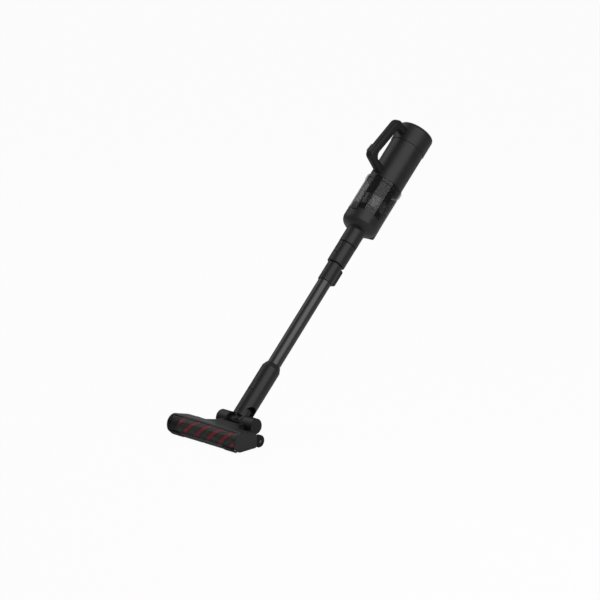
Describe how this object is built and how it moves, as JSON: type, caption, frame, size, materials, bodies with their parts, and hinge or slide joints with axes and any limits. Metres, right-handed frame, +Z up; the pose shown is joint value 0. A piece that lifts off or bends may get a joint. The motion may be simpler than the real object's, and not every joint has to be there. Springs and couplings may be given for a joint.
{
  "type": "cordless stick vacuum",
  "caption": "Cordless stick vacuum with a loop handle, clear dust cup, telescopic wand and a powered floor head on a two-way pivot.",
  "frame": {"origin": "on the floor under the middle of the floor head's glide strip", "axes": "+X to the user's right along the brush roller, +Y back towards the user, +Z up; the stick leans back 45.5 degrees towards +Y"},
  "size_m": [0.262, 0.8756, 0.7717],
  "materials": {
    "body_black": "satin, near black",
    "handle_black": "fine matte, near black",
    "button_grey": "satin dark grey",
    "smoke_clear": "transparent smoke grey",
    "tube_metal": "anodised dark grey",
    "mesh_steel": "fine perforated sheet",
    "inner_black": "moulded",
    "rubber_black": "matte",
    "steel_pin": "ground",
    "filter_white": "pleated",
    "nap_fabric": "short nap with red bristle rows",
    "roller_core": "moulded",
    "display_glass": "polished",
    "board_green": "lacquered board",
    "cell_wrap": "shrink film",
    "motor_metal": "cast",
    "lip_grey": "satin grey",
    "glide_felt": "short pile"
  },
  "bodies": {
    "hand_unit": {"main_housing": "body_black", "top_cap": "body_black", "display_lens": "display_glass", "circuit_boards": "board_green", "handle_outer_shell": "handle_black", "handle_inner_shell": "handle_black", "battery_case": "inner_black", "battery_cells": "cell_wrap", "motor_can": "motor_metal", "exhaust_filter": "filter_white", "charging_socket": "inner_black"},
    "handle_trigger": {"handle_button": "button_grey"},
    "power_key": {"power_button": "button_grey"},
    "mode_key": {"mode_button": "button_grey"},
    "cup_release": {"cup_latch": "button_grey"},
    "rotor": {"motor_rotor": "steel_pin", "impeller": "motor_metal"},
    "cup": {"dust_cup": "smoke_clear", "cup_spine": "body_black", "lid_hinge_pin": "steel_pin", "cyclone_collar": "inner_black", "upper_shroud": "inner_black", "mesh_shroud": "mesh_steel", "cyclone_cone": "inner_black", "pre_filter": "filter_white", "cup_seal": "rubber_black"},
    "catch": {"lid_catch": "button_grey"},
    "lid": {"cup_lid": "body_black", "lid_seal": "rubber_black"},
    "flap": {"inlet_flap": "rubber_black"},
    "wand_upper": {"connector_sleeve": "body_black", "inner_tube": "tube_metal"},
    "wand_key": {"wand_release_button": "button_grey"},
    "wand_lower": {"outer_tube": "tube_metal", "telescope_collar": "body_black"},
    "telescope_key": {"telescope_latch": "button_grey"},
    "head_neck": {"lower_sleeve": "body_black", "swivel_pins": "steel_pin"},
    "head_key": {"head_release_button": "button_grey"},
    "knuckle": {"neck_knuckle": "body_black"},
    "floor_head": {"head_housing": "body_black", "pivot_axles": "steel_pin", "pivot_caps": "handle_black", "brush_window": "smoke_clear", "window_trim": "lip_grey", "front_lip": "lip_grey", "front_feet": "handle_black", "end_cap_left": "body_black", "sole_plate": "handle_black", "glide_strip": "glide_felt", "brush_motor": "motor_metal", "drive_belt": "rubber_black", "wheel_axles": "steel_pin"},
    "roller_cap": {"end_cap_right": "body_black"},
    "roller": {"roller_core": "roller_core", "brush_nap": "nap_fabric"},
    "belt_pulley": {"drive_pulley": "inner_black"},
    "motor_wheel": {"motor_pulley": "steel_pin"},
    "wheel_left": {"rear_wheel_left": "rubber_black"},
    "wheel_right": {"rear_wheel_right": "rubber_black"}
  },
  "joints": [
    {"name": "trigger_press", "type": "slide", "parent": "hand_unit", "child": "handle_trigger", "axis": [0, 0.5746, -0.8185], "range_m": [0, 0.002], "stiffness_N_per_m": 500},
    {"name": "power_press", "type": "slide", "parent": "hand_unit", "child": "power_key", "axis": [0, -0.7133, -0.7009], "range_m": [0, 0.0012], "stiffness_N_per_m": 400},
    {"name": "mode_press", "type": "slide", "parent": "hand_unit", "child": "mode_key", "axis": [0, -0.7133, -0.7009], "range_m": [0, 0.0012], "stiffness_N_per_m": 400},
    {"name": "cup_release_slide", "type": "slide", "parent": "hand_unit", "child": "cup_release", "axis": [0, 0.7133, 0.7009], "range_m": [0, 0.005], "stiffness_N_per_m": 300},
    {"name": "rotor_spin", "type": "hinge", "parent": "hand_unit", "child": "rotor", "pos_m": [0, 0.67613, 0.62476], "axis": [0, 0.7133, 0.7009], "continuous": true},
    {"name": "cup_pull", "type": "slide", "parent": "hand_unit", "child": "cup", "axis": [0, -0.7133, -0.7009], "range_m": [0, 0.1]},
    {"name": "catch_slide", "type": "slide", "parent": "cup", "child": "catch", "axis": [0, 0.7133, 0.7009], "range_m": [0, 0.01], "stiffness_N_per_m": 200},
    {"name": "lid_hinge", "type": "hinge", "parent": "cup", "child": "lid", "pos_m": [0, 0.60723, 0.47658], "axis": [1, 0, 0], "range_deg": [0, 80]},
    {"name": "flap_hinge", "type": "hinge", "parent": "lid", "child": "flap", "pos_m": [0, 0.54141, 0.46995], "axis": [-1, 0, 0], "range_deg": [0, 70]},
    {"name": "wand_pull", "type": "slide", "parent": "lid", "child": "wand_upper", "axis": [0, -0.7133, -0.7009], "range_m": [0, 0.06]},
    {"name": "wand_key_press", "type": "slide", "parent": "wand_upper", "child": "wand_key", "axis": [0, 0.7009, -0.7133], "range_m": [0, 0.0012], "stiffness_N_per_m": 400},
    {"name": "telescope", "type": "slide", "parent": "wand_upper", "child": "wand_lower", "axis": [0, -0.7133, -0.7009], "range_m": [0, 0.22]},
    {"name": "telescope_key_slide", "type": "slide", "parent": "wand_lower", "child": "telescope_key", "axis": [0, 0.7133, 0.7009], "range_m": [0, 0.005], "stiffness_N_per_m": 300},
    {"name": "head_pull", "type": "slide", "parent": "wand_lower", "child": "head_neck", "axis": [0, -0.7133, -0.7009], "range_m": [0, 0.07]},
    {"name": "head_key_press", "type": "slide", "parent": "head_neck", "child": "head_key", "axis": [0, 0.7009, -0.7133], "range_m": [0, 0.0012], "stiffness_N_per_m": 400},
    {"name": "swivel", "type": "hinge", "parent": "head_neck", "child": "knuckle", "pos_m": [0, 0.10196, 0.06053], "axis": [0, -0.7009, 0.7133], "range_deg": [-30, 30]},
    {"name": "pitch", "type": "hinge", "parent": "knuckle", "child": "floor_head", "pos_m": [0, 0.077, 0.036], "axis": [1, 0, 0], "range_deg": [-45, 38]},
    {"name": "roller_pull", "type": "slide", "parent": "floor_head", "child": "roller_cap", "axis": [1, 0, 0], "range_m": [0, 0.25]},
    {"name": "roller_spin", "type": "hinge", "parent": "roller_cap", "child": "roller", "pos_m": [0, -0.038, 0.03], "axis": [1, 0, 0], "continuous": true},
    {"name": "pulley_spin", "type": "hinge", "parent": "floor_head", "child": "belt_pulley", "pos_m": [-0.1236, -0.038, 0.03], "axis": [1, 0, 0], "continuous": true},
    {"name": "motor_wheel_spin", "type": "hinge", "parent": "floor_head", "child": "motor_wheel", "pos_m": [-0.1236, 0.003, 0.024], "axis": [1, 0, 0], "continuous": true},
    {"name": "wheel_left_spin", "type": "hinge", "parent": "floor_head", "child": "wheel_left", "pos_m": [-0.11775, 0.035, 0.017], "axis": [1, 0, 0], "continuous": true},
    {"name": "wheel_right_spin", "type": "hinge", "parent": "floor_head", "child": "wheel_right", "pos_m": [0.11775, 0.035, 0.017], "axis": [1, 0, 0], "continuous": true}
  ],
  "couplings": [
    {"joint": "motor_wheel_spin", "follows": "pulley_spin", "ratio": 1.8333}
  ]
}
